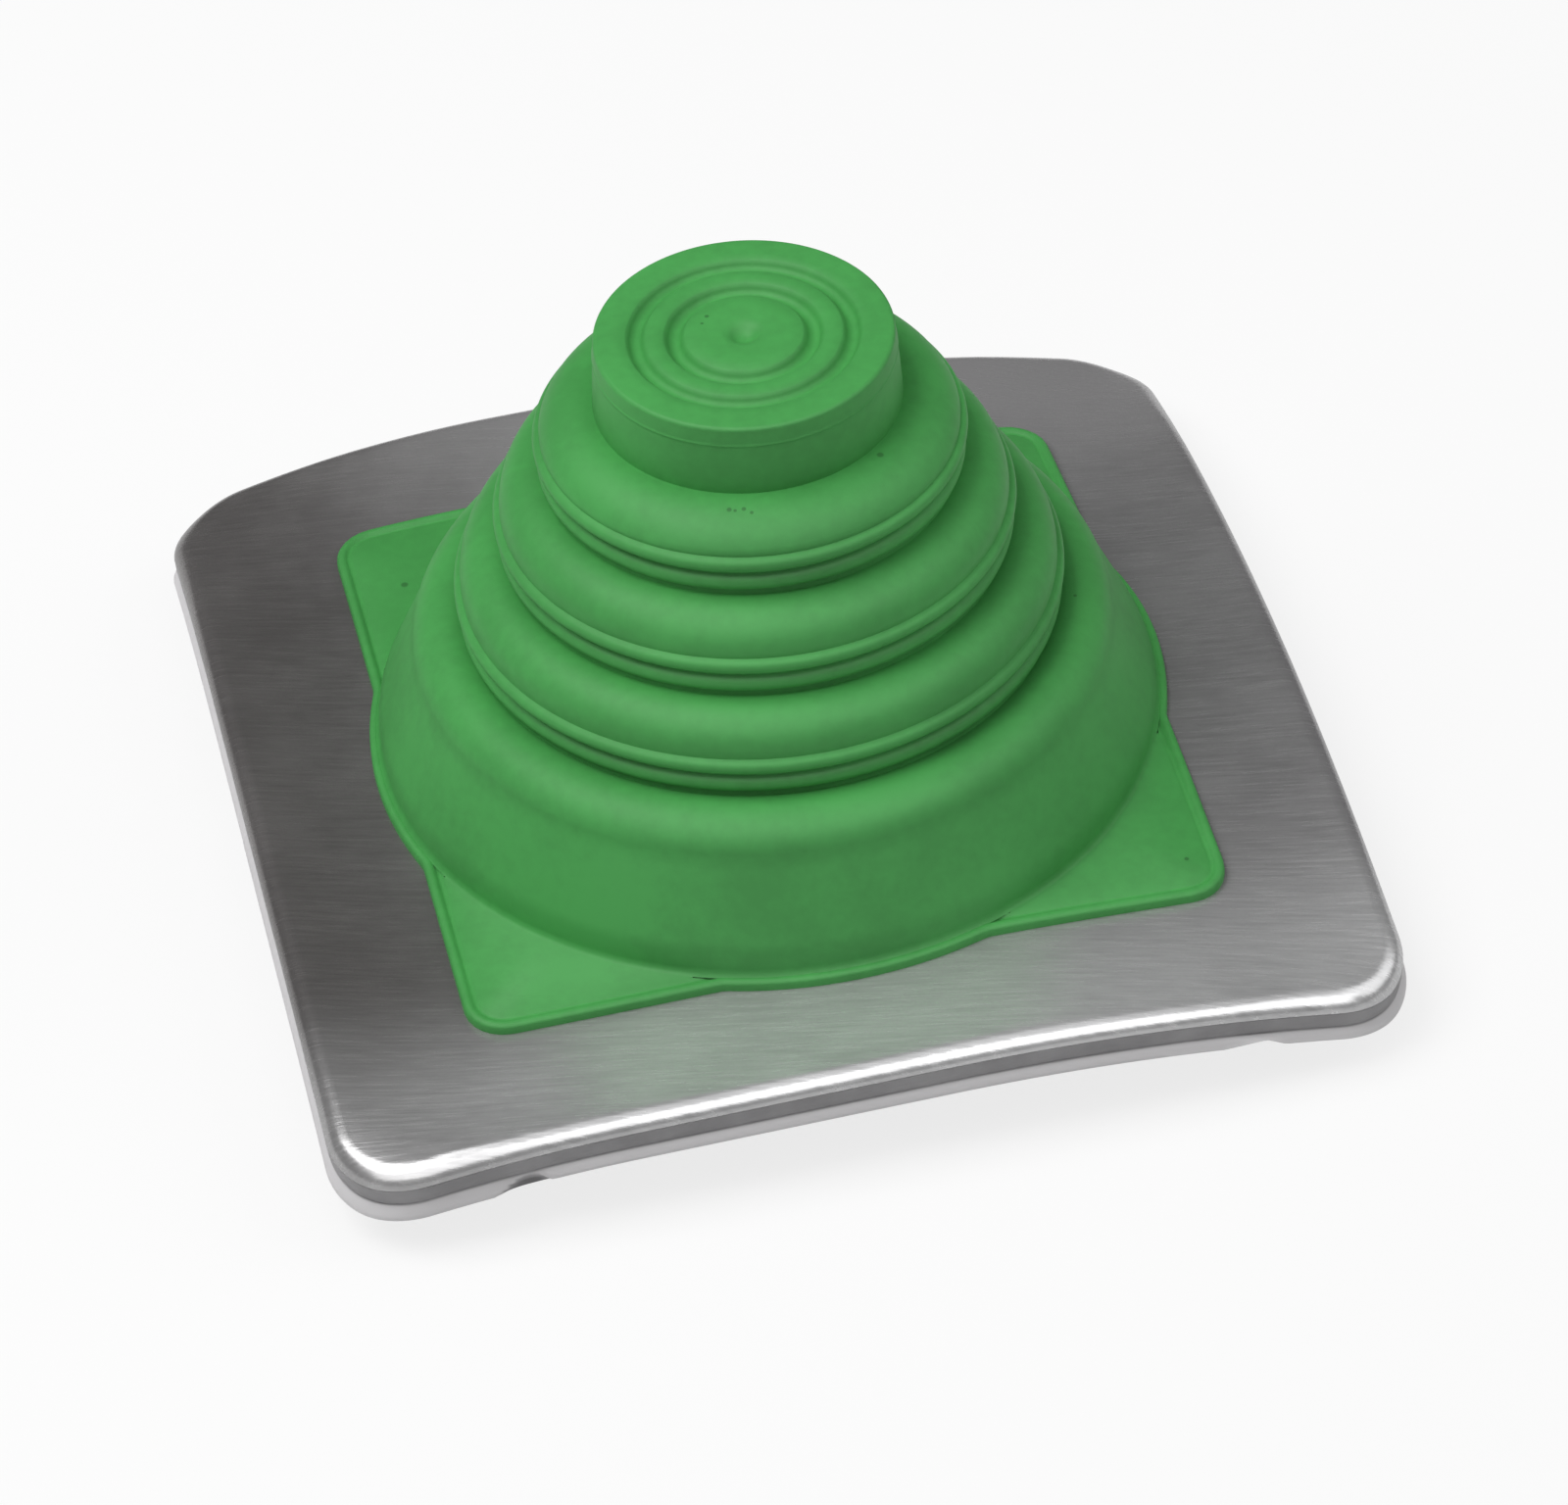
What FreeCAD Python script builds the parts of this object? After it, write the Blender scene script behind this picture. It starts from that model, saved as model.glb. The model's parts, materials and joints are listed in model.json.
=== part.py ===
import FreeCAD, Part
import math
import os
from collections import namedtuple

from FreeCAD import Vector

os.makedirs("parts", exist_ok=True)

# Pipe flashing boot: a stepped rubber cone with a closed top on a square aluminium flange sheet,
# whose underside carries a grey rubber seal pad. Sizes are in millimetres. While the pieces are
# made, +Z is the axis of the cone and z = 0 is the flat middle of the sheet's top face. +X is to
# the right and +Y to the back. At the end everything is lifted so that the lowest corner stands
# on z = 0.

# Flange sheet
PLATE_SIDE = 203.2
PLATE_CORNER_RADIUS = 16.2
SMALLEST_CORNER_RADIUS = 1.0
SHEET_THICKNESS = 0.8
ROLLED_EDGE_RADIUS = 4.0
ROLLED_EDGE_DEPTH = 3.4
ROOF_HOLE_RADIUS = 68.0

# The sheet lies a little off the boot's axis, and it rises towards the right and the back
SHEET_SHIFT_X = -1.3
SHEET_SHIFT_Y = -1.4
SHEET_RISE_X = 0.0138
SHEET_RISE_Y = 0.0150

# Corners bent down in use: which corner, how deep it drops, and how far from it the bend starts
CornerBend = namedtuple("CornerBend", "side_x side_y drop reach")
BACK_RIGHT = CornerBend(1, 1, 17.1, 117.1)
BACK_LEFT = CornerBend(-1, 1, 11.0, 67.3)
FRONT_RIGHT = CornerBend(1, -1, 10.0, 89.5)
FRONT_LEFT = CornerBend(-1, -1, 6.5, 55.8)
CORNER_BENDS = (BACK_RIGHT, BACK_LEFT, FRONT_RIGHT, FRONT_LEFT)
BEND_GRID = 16
BEND_MARGIN = 6.0

# Seal pad under the sheet
SEAL_BAND_HEIGHT = 3.4
SEAL_GROOVE_HEIGHT = 0.8
SEAL_GROOVE_DEPTH = 1.0
SEAL_LIP_HEIGHT = 2.0
SEAL_LIP_REACH = 0.6
SEAL_RIB_WIDTH = 5.0
SEAL_RIB_GAP = 4.0
SEAL_RIB_DEPTH = 2.0
LIP_NOTCHES = ((-62.0, 2.6), (76.0, 1.8))

# Flange of the boot, on the sheet
FLANGE_SIDE = 145.0
FLANGE_CORNER_RADIUS = 7.9
FLANGE_BULGE_RADIUS = 76.7
FLANGE_THICKNESS = 2.0
RIM_WIDTH = 1.8
RIM_GROOVE_WIDTH = 1.2
RIM_GROOVE_DEPTH = 0.5

# Boot
BOOT_HEIGHT = 92.5
BOOT_WALL = 2.6
CAP_RADIUS = 27.9
CAP_EDGE_RADIUS = 1.2
CAP_HEIGHT = 14.4
CAP_FOOT_RADIUS = 28.8
OUTER_DISC_GROOVE = (20.0, 1.7, 0.9)
INNER_DISC_GROOVE = (12.9, 1.8, 1.0)
DIMPLE_RADIUS = 3.9
DIMPLE_DEPTH = 1.2

# Tiers: each is a round shoulder, a short wall and two raised beads, the second set back a little
TIER_COUNT = 3
TIER_STEP = 8.6
TIER_HEIGHT = 16.95
FIRST_BEAD_RADIUS = 40.5
FIRST_BEAD_DROP = 23.2
FIRST_SHOULDER_BULGE = 2.05
SHOULDER_BULGE_GROWTH = 0.4
WALL_ABOVE_BEAD = 3.1
BEAD_HALF_WIDTH = 1.43
BEAD_DEPTH = 1.2
BEAD_PITCH = 4.45
SECOND_BEAD_SETBACK = 0.5
VALLEY_DROP = 6.65
VALLEY_DEPTH = 1.6

# Skirt below the last tier
SKIRT_TOP_RADIUS = 66.8
SKIRT_TOP_DROP = 70.0
SKIRT_FOOT_RADIUS = 74.4

# Worked out from the sizes above
SHEET_CUT_EDGE = -ROLLED_EDGE_DEPTH
BAND_BOTTOM = SHEET_CUT_EDGE - SEAL_BAND_HEIGHT
GROOVE_BOTTOM = BAND_BOTTOM - SEAL_GROOVE_HEIGHT
SEAL_BOTTOM = GROOVE_BOTTOM - SEAL_LIP_HEIGHT
WHOLE_BEND = sum(corner.drop for corner in CORNER_BENDS)
WHOLE_RISE = PLATE_SIDE * (SHEET_RISE_X + SHEET_RISE_Y)
LOW = SEAL_BOTTOM - WHOLE_BEND - WHOLE_RISE
HIGH = BOOT_HEIGHT + WHOLE_RISE


def bend(x, y):
    """Height of the tilted and bent sheet at a place, from its height on the boot's axis."""
    height = SHEET_RISE_X * x + SHEET_RISE_Y * y
    for corner in CORNER_BENDS:
        corner_x = SHEET_SHIFT_X + corner.side_x * PLATE_SIDE / 2
        corner_y = SHEET_SHIFT_Y + corner.side_y * PLATE_SIDE / 2
        share = max(0.0, 1.0 - math.hypot(corner_x - x, corner_y - y) / corner.reach)
        height -= corner.drop * share ** 2
    return height


def bent_slab(low, high):
    """Solid between two copies of the bent surface, wider than the plate."""
    span = PLATE_SIDE / 2 + BEND_MARGIN
    ticks = [span * (2 * i / BEND_GRID - 1) for i in range(BEND_GRID + 1)]
    surface = Part.BSplineSurface()
    surface.interpolate([[Vector(x, y, low + bend(x, y)) for y in ticks] for x in ticks])
    return surface.toShape().extrude(Vector(0, 0, high - low))


def rounded_block(side, corner_radius, centre_x=0.0, centre_y=0.0):
    """Tall block with round corners, as wide as one outline seen from above."""
    foot = Vector(centre_x - side / 2, centre_y - side / 2, LOW)
    block = Part.makeBox(side, side, HIGH - LOW, foot)
    uprights = [edge for edge in block.Edges if edge.tangentAt(edge.FirstParameter).z ** 2 > 0.5]
    return block.makeFillet(corner_radius, uprights)


def round_post(radius):
    """Tall cylinder on the boot's axis."""
    return Part.makeCylinder(radius, HIGH - LOW, Vector(0, 0, LOW))


def plate_block(inset):
    """Block of the plate's outline, drawn in by the inset."""
    corner_radius = max(PLATE_CORNER_RADIUS - inset, SMALLEST_CORNER_RADIUS)
    return rounded_block(PLATE_SIDE - 2 * inset, corner_radius, SHEET_SHIFT_X, SHEET_SHIFT_Y)


def plate_layer(inset, low, high):
    """Bent layer of the plate's outline."""
    return plate_block(inset).common(bent_slab(low, high))


def rolled_layer(inset):
    """Bent layer whose top edge is rolled down, parallel to the sheet's outer face."""
    layer = plate_layer(inset, BAND_BOTTOM, -inset)
    top_edges = []
    for edge in layer.Edges:
        middle = edge.valueAt((edge.FirstParameter + edge.LastParameter) / 2)
        if middle.z - bend(middle.x, middle.y) > -inset - SHEET_THICKNESS / 2:
            top_edges.append(edge)
    return layer.makeFillet(ROLLED_EDGE_RADIUS - inset, top_edges)


def aluminium_flange():
    """Thin sheet with its edge rolled down all round and the roof hole in its middle."""
    shell = rolled_layer(0.0).cut(rolled_layer(SHEET_THICKNESS))
    kept = bent_slab(SHEET_CUT_EDGE, FLANGE_THICKNESS)
    return shell.common(kept).cut(round_post(ROOF_HOLE_RADIUS))


def seal_channels():
    """Channels in the pad's underside that leave a rib at its edge and one round the hole."""
    inner_edge = SEAL_RIB_WIDTH + SEAL_RIB_GAP
    square = plate_block(SEAL_RIB_WIDTH).cut(plate_block(inner_edge))
    round_post_outer = round_post(ROOF_HOLE_RADIUS + inner_edge)
    circle = round_post_outer.cut(round_post(ROOF_HOLE_RADIUS + SEAL_RIB_WIDTH))
    depth = bent_slab(LOW, SEAL_BOTTOM + SEAL_RIB_DEPTH)
    return [square.common(depth), circle.common(depth)]


def lip_notch(place, radius):
    """Round notch across the lip in the front side, at a place along it."""
    x = SHEET_SHIFT_X + place
    y = SHEET_SHIFT_Y - PLATE_SIDE / 2
    front = Vector(x, y - SEAL_LIP_REACH, SEAL_BOTTOM + bend(x, y))
    return Part.makeCylinder(radius, SEAL_RIB_WIDTH, front, Vector(0, 1, 0))


def base_seal():
    """Pad that fills the rolled sheet, with a band, a groove and a lip round its side."""
    under_sheet = rolled_layer(SHEET_THICKNESS)
    band = plate_layer(0.0, BAND_BOTTOM, SHEET_CUT_EDGE)
    groove = plate_layer(SEAL_GROOVE_DEPTH, GROOVE_BOTTOM, BAND_BOTTOM)
    lip = plate_layer(-SEAL_LIP_REACH, SEAL_BOTTOM, GROOVE_BOTTOM)
    pad = under_sheet.fuse([band, groove, lip])
    notches = [lip_notch(place, radius) for place, radius in LIP_NOTCHES]
    return pad.cut([round_post(ROOF_HOLE_RADIUS)] + seal_channels() + notches)


class Section:
    """Half section of the boot, drawn point by point as radius and height."""

    def __init__(self, radius, height):
        self.at = Vector(radius, 0, height)
        self.start = self.at
        self.edges = []

    def line(self, radius, height):
        there = Vector(radius, 0, height)
        self.edges.append(Part.LineSegment(self.at, there).toShape())
        self.at = there

    def arc(self, via_radius, via_height, radius, height):
        there = Vector(radius, 0, height)
        self.edges.append(Part.Arc(self.at, Vector(via_radius, 0, via_height), there).toShape())
        self.at = there

    def shoulder(self, radius, height, bulge):
        """Arc that stands out from its chord by the bulge, upwards and outwards."""
        run, fall = radius - self.at.x, self.at.z - height
        chord = math.hypot(run, fall)
        middle_radius = (self.at.x + radius) / 2 + bulge * fall / chord
        middle_height = (self.at.z + height) / 2 + bulge * run / chord
        self.arc(middle_radius, middle_height, radius, height)

    def revolved(self):
        """Solid made by closing the section along the axis and turning it once."""
        self.line(0, self.at.z)
        self.line(self.start.x, self.start.z)
        face = Part.Face(Part.Wire(self.edges))
        return face.revolve(Vector(0, 0, 0), Vector(0, 0, 1), 360)


def bead_radius(tier):
    return FIRST_BEAD_RADIUS + tier * TIER_STEP


def bead_height(tier):
    return BOOT_HEIGHT - FIRST_BEAD_DROP - tier * TIER_HEIGHT


def shoulder_bulge(tier):
    return FIRST_SHOULDER_BULGE + tier * SHOULDER_BULGE_GROWTH


def skirt_radius(height):
    """Outer radius of the skirt's conical wall, carried on below the sheet."""
    wall_height = BOOT_HEIGHT - SKIRT_TOP_DROP
    return SKIRT_FOOT_RADIUS - height * (SKIRT_FOOT_RADIUS - SKIRT_TOP_RADIUS) / wall_height


def draw_disc_groove(section, groove):
    """Shallow round-bottomed groove in the top disc."""
    radius, half_width, depth = groove
    section.line(radius - half_width, BOOT_HEIGHT)
    section.arc(radius, BOOT_HEIGHT - depth, radius + half_width, BOOT_HEIGHT)


def draw_cap(section):
    """Top disc with its dimple and grooves, its round edge and the cap's wall."""
    dimple_sphere = (DIMPLE_RADIUS ** 2 + DIMPLE_DEPTH ** 2) / (2 * DIMPLE_DEPTH)
    half = DIMPLE_RADIUS / 2
    half_depth = dimple_sphere - DIMPLE_DEPTH - math.sqrt(dimple_sphere ** 2 - half ** 2)
    section.arc(half, BOOT_HEIGHT + half_depth, DIMPLE_RADIUS, BOOT_HEIGHT)
    draw_disc_groove(section, INNER_DISC_GROOVE)
    draw_disc_groove(section, OUTER_DISC_GROOVE)
    section.line(CAP_RADIUS - CAP_EDGE_RADIUS, BOOT_HEIGHT)
    lean = CAP_EDGE_RADIUS * (1 - math.sqrt(0.5))
    section.arc(CAP_RADIUS - lean, BOOT_HEIGHT - lean, CAP_RADIUS, BOOT_HEIGHT - CAP_EDGE_RADIUS)
    section.line(CAP_FOOT_RADIUS, BOOT_HEIGHT - CAP_HEIGHT)


def draw_bead(section, radius, height):
    """Raised bead with a round top, reached by a line along the wall above it."""
    root = radius - BEAD_DEPTH
    section.line(root, height + BEAD_HALF_WIDTH)
    section.arc(radius, height, root, height - BEAD_HALF_WIDTH)


def draw_tier(section, tier):
    """Shoulder, short wall, bead, second bead and the valley below."""
    radius, height = bead_radius(tier), bead_height(tier)
    section.shoulder(radius - BEAD_DEPTH, height + WALL_ABOVE_BEAD, shoulder_bulge(tier))
    draw_bead(section, radius, height)
    draw_bead(section, radius - SECOND_BEAD_SETBACK, height - BEAD_PITCH)
    section.line(radius - VALLEY_DEPTH, height - VALLEY_DROP)


def boot_outside():
    """Full cone, closed at the top and carried below the sheet."""
    section = Section(0, BOOT_HEIGHT - DIMPLE_DEPTH)
    draw_cap(section)
    for tier in range(TIER_COUNT):
        draw_tier(section, tier)
    skirt_top = BOOT_HEIGHT - SKIRT_TOP_DROP
    section.shoulder(SKIRT_TOP_RADIUS, skirt_top, shoulder_bulge(TIER_COUNT))
    section.line(skirt_radius(LOW), LOW)
    return section.revolved()


def boot_inside():
    """Hollow of the boot: a shoulder and a straight pipe collar in each tier."""
    section = Section(0, BOOT_HEIGHT - BOOT_WALL)
    section.line(CAP_RADIUS - BOOT_WALL, BOOT_HEIGHT - BOOT_WALL)
    section.line(CAP_FOOT_RADIUS - BOOT_WALL, BOOT_HEIGHT - CAP_HEIGHT - BOOT_WALL)
    for tier in range(TIER_COUNT):
        collar = bead_radius(tier) - VALLEY_DEPTH - BOOT_WALL
        height = bead_height(tier) - BOOT_WALL
        section.shoulder(collar, height + WALL_ABOVE_BEAD, shoulder_bulge(tier))
        section.line(collar, height - VALLEY_DROP)
    skirt_top = BOOT_HEIGHT - SKIRT_TOP_DROP - BOOT_WALL
    section.shoulder(SKIRT_TOP_RADIUS - BOOT_WALL, skirt_top, shoulder_bulge(TIER_COUNT))
    section.line(skirt_radius(LOW) - BOOT_WALL, LOW)
    return section.revolved()


def flange_block(inset):
    """Square with round corners and a circle that bulges out of each side."""
    square = rounded_block(FLANGE_SIDE - 2 * inset, FLANGE_CORNER_RADIUS - inset)
    return square.fuse(round_post(FLANGE_BULGE_RADIUS - inset))


def boot_flange():
    """Flat flange with a raised rim all round, set off by a groove."""
    flange = flange_block(0.0).common(bent_slab(0.0, FLANGE_THICKNESS))
    ring = flange_block(RIM_WIDTH).cut(flange_block(RIM_WIDTH + RIM_GROOVE_WIDTH))
    groove = ring.common(bent_slab(FLANGE_THICKNESS - RIM_GROOVE_DEPTH, HIGH))
    return flange.cut(groove)


def rubber_boot():
    """Boot and flange in one moulding, open below."""
    cone = boot_outside().common(bent_slab(0.0, HIGH))
    return cone.fuse(boot_flange()).cut(boot_inside()).removeSplitter()


def write(name, shape, lift):
    placed = shape.copy()
    placed.translate(Vector(0, 0, lift))
    solid = placed.Solids[0]
    solid.exportStep(f"parts/{name}.step")
    print(name, "solids", len(placed.Solids), "valid", solid.isValid(), "volume", round(solid.Volume))


seal = base_seal()
stand = -seal.optimalBoundingBox().ZMin
write("base_seal", seal, stand)
write("aluminium_flange", aluminium_flange(), stand)
write("rubber_boot", rubber_boot(), stand)
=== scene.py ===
import json
import math

import bmesh
import bpy
from bpy.props import FloatProperty, FloatVectorProperty, IntProperty, PointerProperty
from mathutils import Matrix, Vector


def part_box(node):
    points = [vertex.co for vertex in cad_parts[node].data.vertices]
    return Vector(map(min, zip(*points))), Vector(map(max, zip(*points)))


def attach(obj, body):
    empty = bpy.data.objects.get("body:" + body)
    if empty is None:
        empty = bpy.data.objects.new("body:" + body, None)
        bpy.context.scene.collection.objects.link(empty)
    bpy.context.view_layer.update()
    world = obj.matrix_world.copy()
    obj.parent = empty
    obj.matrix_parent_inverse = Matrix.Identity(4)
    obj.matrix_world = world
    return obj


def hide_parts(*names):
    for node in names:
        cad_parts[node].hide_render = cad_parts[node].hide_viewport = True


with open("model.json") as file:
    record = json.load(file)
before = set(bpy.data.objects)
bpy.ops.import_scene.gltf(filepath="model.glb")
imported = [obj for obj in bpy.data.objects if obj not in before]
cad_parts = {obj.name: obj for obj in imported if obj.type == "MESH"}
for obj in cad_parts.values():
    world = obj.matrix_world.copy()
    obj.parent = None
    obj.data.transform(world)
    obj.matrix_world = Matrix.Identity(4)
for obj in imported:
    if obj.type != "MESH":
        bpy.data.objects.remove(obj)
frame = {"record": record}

bl_info = {
    "name": "Pipe flashing boot",
    "version": (1, 0, 0),
    "blender": (4, 5, 0),
    "location": "View3D > Sidebar > Flashing boot",
    "description": "Stepped rubber pipe boot on a bent aluminium flange sheet with a rubber seal",
    "category": "Add Mesh",
}

MM = 0.001

# Places that come from the frame
MOUNTS = {mount["name"]: mount for mount in frame["record"]["mounts"]}
ROOF_HOLE = MOUNTS["roof_hole"]
BOOT_HEIGHT = 92.5 * MM
BOOT_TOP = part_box("rubber_boot")[1].z
SHEET_TOP = BOOT_TOP - BOOT_HEIGHT
SEAL_DEPTH = SHEET_TOP - MOUNTS["roof_side"]["pos_m"][2]
HOLE_RADIUS = ROOF_HOLE["dims"]["r_mm"] * MM
SHEET_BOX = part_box("aluminium_flange")
PLATE_HALF = (SHEET_BOX[1].x - SHEET_BOX[0].x) / 2
LIP_HALF = (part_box("base_seal")[1].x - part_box("base_seal")[0].x) / 2

# The sheet's middle lies a little off the boot's axis, and the sheet rises to the right and the back
SHEET_SHIFT = (SHEET_BOX[0] + SHEET_BOX[1]) / 2
SHEET_RISE = (0.0138, 0.0150)

# Outside the flange the sheet curves up a little towards its rim: at the sides, back and front
RIM_RISES = (2.3 * MM, 2.4 * MM, 3.0 * MM)
RIM_START = 70.0 * MM
# The lowest corner keeps this share of the rise, and the seal there hangs down to the floor
LOW_CORNER_SHARE = 0.5
LOW_CORNER_REACH = 45.0 * MM
LOW_CORNER_SAG = 1.15 * MM

# Points round each skin, rings from the roof hole to the rim, and rings in the rolled edge
BOOT_SEGMENTS = 336
SHEET_SEGMENTS = 640
SEAL_SEGMENTS = 960
SHEET_STEPS = 16
ROLL_STEPS = 10

# Edges that turn more than this stay sharp
MOULDED_SHARP = math.radians(50.0)
SEAL_SHARP = math.radians(40.0)

# The four corners bent down: side in x, side in y, drop and reach from the corner
CORNER_BENDS = (
    (1, 1, 17.1 * MM, 117.1 * MM),
    (-1, 1, 11.0 * MM, 67.3 * MM),
    (1, -1, 10.0 * MM, 89.5 * MM),
    (-1, -1, 4.6 * MM, 55.8 * MM),
)


def length(name, description, default, **more):
    """A size that a user can set, in metres."""
    return FloatProperty(name=name, description=description, default=default, unit="LENGTH", **more)


def colour(name, description, default):
    return FloatVectorProperty(
        name=name, description=description, default=default, subtype="COLOR", min=0.0, max=1.0
    )


class BootSettings(bpy.types.PropertyGroup):
    """Sizes and colour of the rubber moulding."""

    wall: length("Wall", "Thickness of the rubber", 2.6 * MM)
    cap_radius: length("Cap radius", "Radius of the closed top", 27.9 * MM)
    cap_edge: length("Cap edge", "Rounding of the top edge", 0.8 * MM)
    cap_height: length("Cap height", "From the top disc to the first shoulder", 14.4 * MM)
    cap_foot: length("Cap foot", "Radius at the cap's foot", 28.8 * MM)
    bead_radius: length("First bead", "Radius of the first tier's upper bead", 40.5 * MM)
    bead_drop: length("First bead drop", "From the top disc to the first bead", 22.4 * MM)
    bead_depth: length("Bead depth", "How far a bead stands out from the wall", 1.35 * MM)
    bead_half: length("Bead half width", "Half the height of an upper bead", 1.5 * MM)
    lower_half: length("Lower bead half width", "Half the height of a lower bead", 1.75 * MM)
    bead_pitch: length("Bead pitch", "From the upper bead to the lower one", 4.45 * MM)
    setback: length("Lower bead setback", "How far the lower bead lies behind the upper one", 0.5 * MM)
    wall_above: length("Wall above bead", "From the bead up to the shoulder", 2.3 * MM)
    valley_drop: length("Valley drop", "From the upper bead down to the valley", 7.45 * MM)
    valley_depth: length("Valley depth", "How far the valley lies behind the upper bead", 1.6 * MM)
    tier_step: length("Tier step", "Growth in radius from tier to tier", 8.6 * MM)
    tier_height: length("Tier height", "Drop from tier to tier", 16.95 * MM)
    tiers: IntProperty(name="Tiers", description="Number of tiers", default=3, min=1)
    bulge: length("Shoulder bulge", "Rise of the first shoulder over its chord", 2.05 * MM)
    bulge_growth: length("Bulge growth", "Growth of that rise from tier to tier", 0.4 * MM)
    skirt_radius: length("Skirt top", "Radius where the skirt's wall begins", 66.8 * MM)
    skirt_drop: length("Skirt drop", "From the top disc to the skirt's wall", 70.0 * MM)
    foot_radius: length("Skirt foot", "Radius where the skirt meets the flange", 74.4 * MM)
    flange_half: length("Flange half side", "Half of the square flange", 72.5 * MM)
    flange_corner: length("Flange corner", "Corner radius of the flange", 7.9 * MM)
    bulge_radius: length("Flange circle", "Circle that bulges out of each side", 76.7 * MM)
    flange_thickness: length("Flange thickness", "Thickness of the flange", 2.0 * MM)
    rim_width: length("Rim width", "Raised rim round the flange", 1.8 * MM)
    green: colour("Green", "Colour of the rubber", (0.055, 0.298, 0.067))


class SheetSettings(bpy.types.PropertyGroup):
    """Sizes and colour of the aluminium sheet."""

    thickness: length("Thickness", "Thickness of the sheet", 0.8 * MM)
    corner: length("Corner radius", "Corner radius of the sheet", 16.2 * MM)
    roll: length("Rolled edge", "Radius of the rolled edge", 4.0 * MM)
    depth: length("Edge depth", "How far the rolled edge reaches down", 3.4 * MM)
    # The sheet's colours are painted by place: the metal colour on the front margin as a painted
    # reflection, painted shade on the right and back, and the darkest painted shade on the left side.
    metal: colour("Metal", "Colour of the aluminium", (0.60, 0.60, 0.605))
    painted_shade_metal: colour("Dull", "Colour of the sheet where it is no longer bright", (0.29, 0.285, 0.29))
    painted_left_shade: colour("Tarnish", "Colour of the left side, where it is dullest", (0.16, 0.152, 0.15))


class SealSettings(bpy.types.PropertyGroup):
    """Sizes and colour of the seal pad."""

    band: length("Band", "Height of the band under the sheet's edge", 3.7 * MM)
    valley: length("Valley", "How far the valley above the lip lies in", 0.8 * MM)
    rib: length("Rib", "Width of a sealing rib", 5.0 * MM)
    channel: length("Channel", "Width of a channel between ribs", 4.0 * MM)
    channel_depth: length("Channel depth", "Depth of a channel", 2.0 * MM)
    grey: colour("Grey", "Colour of the seal", (0.27, 0.265, 0.272))
    # The lip's paler colour is a painted highlight where light falls on its top.
    painted_lip_highlight: colour("Lip grey", "Colour of the lip, which is paler with dust", (0.60, 0.59, 0.60))


class StageSettings(bpy.types.PropertyGroup):
    """Camera and light."""

    lens: FloatProperty(name="Lens", description="Focal length", default=157.5, unit="CAMERA")
    distance: length("Distance", "From the camera to the aim", 1.3273)
    azimuth: FloatProperty(name="Azimuth", description="Direction of view", default=10.69)
    elevation: FloatProperty(name="Elevation", description="Camera angle above level", default=42.11)
    roll: FloatProperty(name="Roll", description="Turn about the line of view", default=-3.59)


def bend(x, y):
    """Height of the tilted and bent sheet at a place, from its height on the boot's axis."""
    height = SHEET_RISE[0] * x + SHEET_RISE[1] * y
    for side_x, side_y, drop, reach in CORNER_BENDS:
        away = math.hypot(
            SHEET_SHIFT.x + side_x * PLATE_HALF - x, SHEET_SHIFT.y + side_y * PLATE_HALF - y
        )
        height -= drop * max(0.0, 1.0 - away / reach) ** 2
    across, deep = abs(x - SHEET_SHIFT.x) ** 6, abs(y - SHEET_SHIFT.y) ** 6
    out = (across + deep) ** (1 / 6)
    if out < RIM_START:
        return height
    side, back, front = RIM_RISES
    rise = (side * across + (back if y > 0 else front) * deep) / (across + deep)
    share = min(1.0, (out - RIM_START) / (PLATE_HALF - RIM_START))
    return height + rise * share ** 1.5 * (1.0 - LOW_CORNER_SHARE * low_corner(x, y))


def low_corner(x, y):
    """1 in the sheet's lowest corner, falling to 0 at its reach."""
    away = math.hypot(SHEET_SHIFT.x + PLATE_HALF - x, SHEET_SHIFT.y + PLATE_HALF - y)
    share = max(0.0, 1.0 - away / LOW_CORNER_REACH)
    return share * share * (3.0 - 2.0 * share)


def square_radius(angle, half, corner):
    """Distance from the axis to a square with round corners."""
    run, rise = abs(math.cos(angle)), abs(math.sin(angle))
    flat = half / max(run, rise)
    centre = half - corner
    if flat * min(run, rise) <= centre:
        return flat
    along = centre * (run + rise)
    return along + math.sqrt(along ** 2 - 2 * centre ** 2 + corner ** 2)


def sheet_radius(angle, inset, corner):
    """Distance from the boot's axis to the sheet's outline, which is drawn in by the inset."""
    turn = angle
    for _ in range(4):
        reach = square_radius(turn, PLATE_HALF - inset, corner - inset)
        x = SHEET_SHIFT.x + reach * math.cos(turn)
        y = SHEET_SHIFT.y + reach * math.sin(turn)
        turn += math.remainder(angle - math.atan2(y, x), math.tau)
    return math.hypot(x, y)


def circle_of(radius):
    """Outline that is a circle round the boot's axis."""
    return lambda angle: radius


def from_hole(shape, share):
    """Outline part of the way from the roof hole to another outline."""
    return lambda angle: HOLE_RADIUS + (shape(angle) - HOLE_RADIUS) * share


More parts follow.
